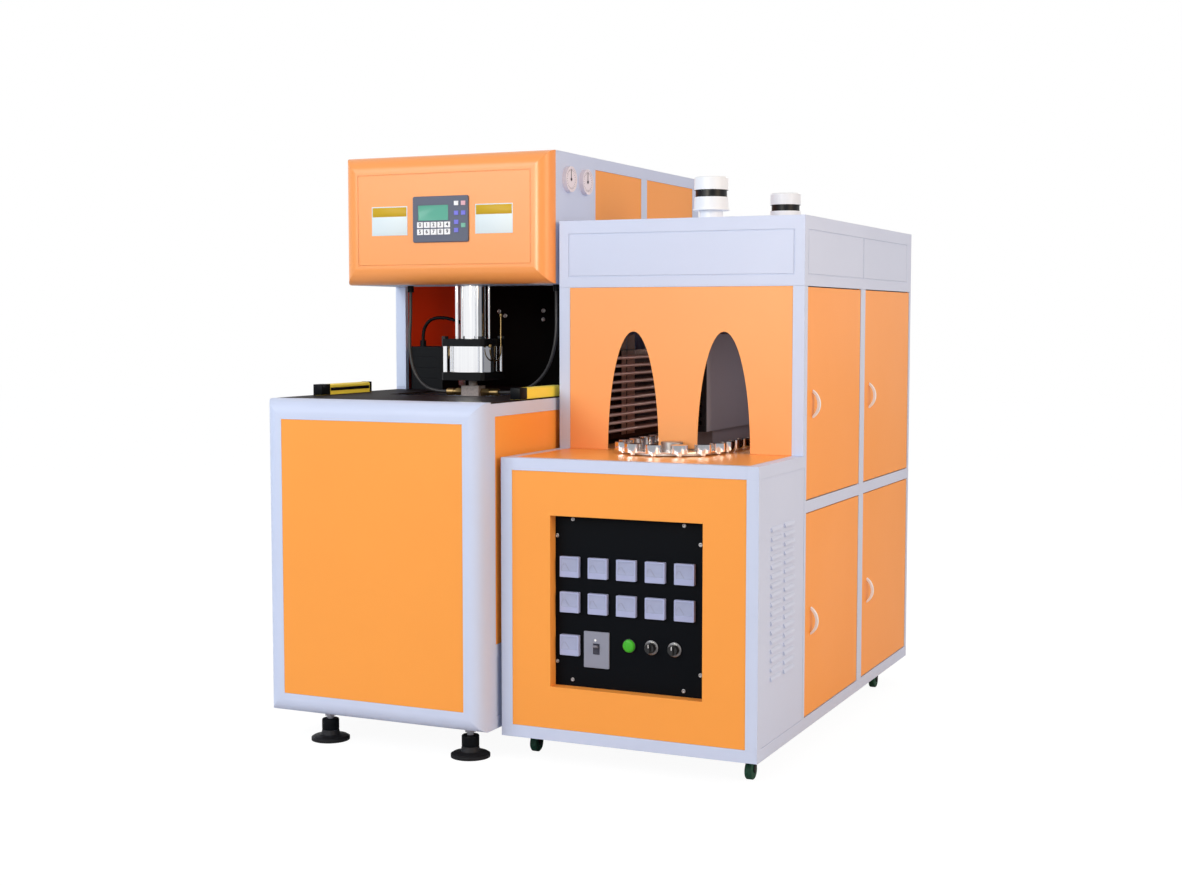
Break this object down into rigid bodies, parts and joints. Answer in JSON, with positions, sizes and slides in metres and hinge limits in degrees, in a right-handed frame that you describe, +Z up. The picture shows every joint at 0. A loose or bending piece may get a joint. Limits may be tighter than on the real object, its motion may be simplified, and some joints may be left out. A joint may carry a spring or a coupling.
{
  "type": "blow moulding machine",
  "caption": "Semi-automatic stretch blow moulding machine: a blow unit with a top nozzle and sliding clamp beside a rotary infrared preform heater.",
  "frame": {"origin": "on the floor, under the middle of the whole set's box", "axes": "+X from the blow unit to the heater, +Y from the operator's side to the rear, +Z up"},
  "size_m": [1.499, 1.666, 1.725],
  "materials": {
    "orange_paint": "satin powder coat",
    "pale_paint": "satin powder coat",
    "dark_paint": "satin",
    "black_anodised": "satin",
    "polished_steel": "polished",
    "machined_steel": "machined",
    "reflector_aluminium": "bright",
    "brass": "turned",
    "black_plastic": "matt",
    "hose": "smooth",
    "grey_case": "fine texture",
    "meter_case": "smooth",
    "gauge_face": "smooth",
    "yellow_paint": "satin",
    "green_lens": "clear",
    "quartz": "clear",
    "foot_rubber": "matt",
    "castor_steel": "dark",
    "castor_tyre": "worn"
  },
  "bodies": {
    "machine": {"blow_frame": "pale_paint", "front_bezel": "pale_paint", "front_panel": "orange_paint", "lower_side_panels": "orange_paint", "upper_side_panels": "orange_paint", "back_covers": "pale_paint", "table_deck": "dark_paint", "head_shell": "pale_paint", "head_cover": "orange_paint", "controller": "grey_case", "pressure_gauges": "gauge_face", "cylinder_flanges": "black_anodised", "air_cylinders": "polished_steel", "cylinder_tie_rods": "polished_steel", "nozzle_hose_left": "hose", "nozzle_hose_right": "hose", "valve_hose": "hose", "valve_box": "black_plastic", "air_ports": "black_plastic", "light_curtains": "yellow_paint", "clamp_frame": "machined_steel", "clamp_cylinder": "machined_steel", "levelling_feet": "foot_rubber", "heater_frame": "pale_paint", "heater_front_panel": "orange_paint", "control_plate": "black_plastic", "panel_meters": "meter_case", "pilot_lamp": "green_lens", "counter_top": "orange_paint", "oven_wall": "orange_paint", "oven_hood": "pale_paint", "side_vent_panel": "pale_paint", "heater_fixed_panels": "pale_paint", "lamp_tubes": "quartz", "lamp_reflectors": "reflector_aluminium", "centre_duct": "machined_steel", "holder_chain": "polished_steel", "front_wheel": "machined_steel", "drive_sprocket": "machined_steel", "gear_motor": "black_anodised", "vent_stacks": "pale_paint", "rear_castor_forks": "castor_steel"},
    "nozzle": {"nozzle_block": "machined_steel", "hose_fittings": "brass"},
    "stretch": {"stretch_rod": "machined_steel"},
    "platen": {"moving_platen": "machined_steel"},
    "toggle": {"breaker_toggle": "black_plastic"},
    "left_knob": {"knob_left": "black_plastic"},
    "right_knob": {"knob_right": "black_plastic"},
    "left_fork": {"castor_fork_front_left": "castor_steel"},
    "right_fork": {"castor_fork_front_right": "castor_steel"},
    "oven_door_front": {"oven_door_front": "orange_paint"},
    "oven_door_rear": {"oven_door_rear": "orange_paint"},
    "base_door_front": {"base_door_front": "orange_paint"},
    "base_door_rear": {"base_door_rear": "orange_paint"},
    "wheel_front_left": {"castor_wheel_front_left": "castor_tyre"},
    "wheel_front_right": {"castor_wheel_front_right": "castor_tyre"},
    "wheel_rear_left": {"castor_wheel_rear_left": "castor_tyre"},
    "wheel_rear_right": {"castor_wheel_rear_right": "castor_tyre"}
  },
  "joints": [
    {"name": "nozzle_slide", "type": "slide", "parent": "machine", "child": "nozzle", "axis": [0, 0, -1], "range_m": [0, 0.05], "deforming": ["nozzle_hose_left", "nozzle_hose_right"]},
    {"name": "stretch_slide", "type": "slide", "parent": "machine", "child": "stretch", "axis": [0, 0, -1], "range_m": [0, 0.3]},
    {"name": "clamp_slide", "type": "slide", "parent": "machine", "child": "platen", "axis": [0, -1, 0], "range_m": [0, 0.18]},
    {"name": "breaker_switch", "type": "hinge", "parent": "machine", "child": "toggle", "pos_m": [0.2525, -0.705, 0.326], "axis": [1, 0, 0], "range_deg": [0, 60]},
    {"name": "left_knob_turn", "type": "hinge", "parent": "machine", "child": "left_knob", "pos_m": [0.4135, -0.709, 0.345], "axis": [0, 1, 0], "range_deg": [-135, 135]},
    {"name": "right_knob_turn", "type": "hinge", "parent": "machine", "child": "right_knob", "pos_m": [0.4805, -0.709, 0.345], "axis": [0, 1, 0], "range_deg": [-45, 45]},
    {"name": "oven_door_front_hinge", "type": "hinge", "parent": "machine", "child": "oven_door_front", "pos_m": [0.7205, 0.196, 1], "axis": [0, 0, 1], "range_deg": [0, 110]},
    {"name": "oven_door_rear_hinge", "type": "hinge", "parent": "machine", "child": "oven_door_rear", "pos_m": [0.7205, 0.799, 1], "axis": [0, 0, 1], "range_deg": [0, 110]},
    {"name": "base_door_front_hinge", "type": "hinge", "parent": "machine", "child": "base_door_front", "pos_m": [0.7205, 0.196, 0.4], "axis": [0, 0, 1], "range_deg": [0, 110]},
    {"name": "base_door_rear_hinge", "type": "hinge", "parent": "machine", "child": "base_door_rear", "pos_m": [0.7205, 0.799, 0.4], "axis": [0, 0, 1], "range_deg": [0, 110]},
    {"name": "left_castor_swivel", "type": "hinge", "parent": "machine", "child": "left_fork", "pos_m": [0.0255, -0.638, 0.068], "axis": [0, 0, 1], "continuous": true},
    {"name": "right_castor_swivel", "type": "hinge", "parent": "machine", "child": "right_fork", "pos_m": [0.6775, -0.638, 0.068], "axis": [0, 0, 1], "continuous": true},
    {"name": "front_left_roll", "type": "hinge", "parent": "left_fork", "child": "wheel_front_left", "pos_m": [0.0255, -0.626, 0.025], "axis": [1, 0, 0], "continuous": true},
    {"name": "front_right_roll", "type": "hinge", "parent": "right_fork", "child": "wheel_front_right", "pos_m": [0.6775, -0.65, 0.025], "axis": [1, 0, 0], "continuous": true},
    {"name": "rear_left_roll", "type": "hinge", "parent": "machine", "child": "wheel_rear_left", "pos_m": [0.0255, 0.591, 0.025], "axis": [1, 0, 0], "continuous": true},
    {"name": "rear_right_roll", "type": "hinge", "parent": "machine", "child": "wheel_rear_right", "pos_m": [0.6775, 0.591, 0.025], "axis": [1, 0, 0], "continuous": true}
  ]
}
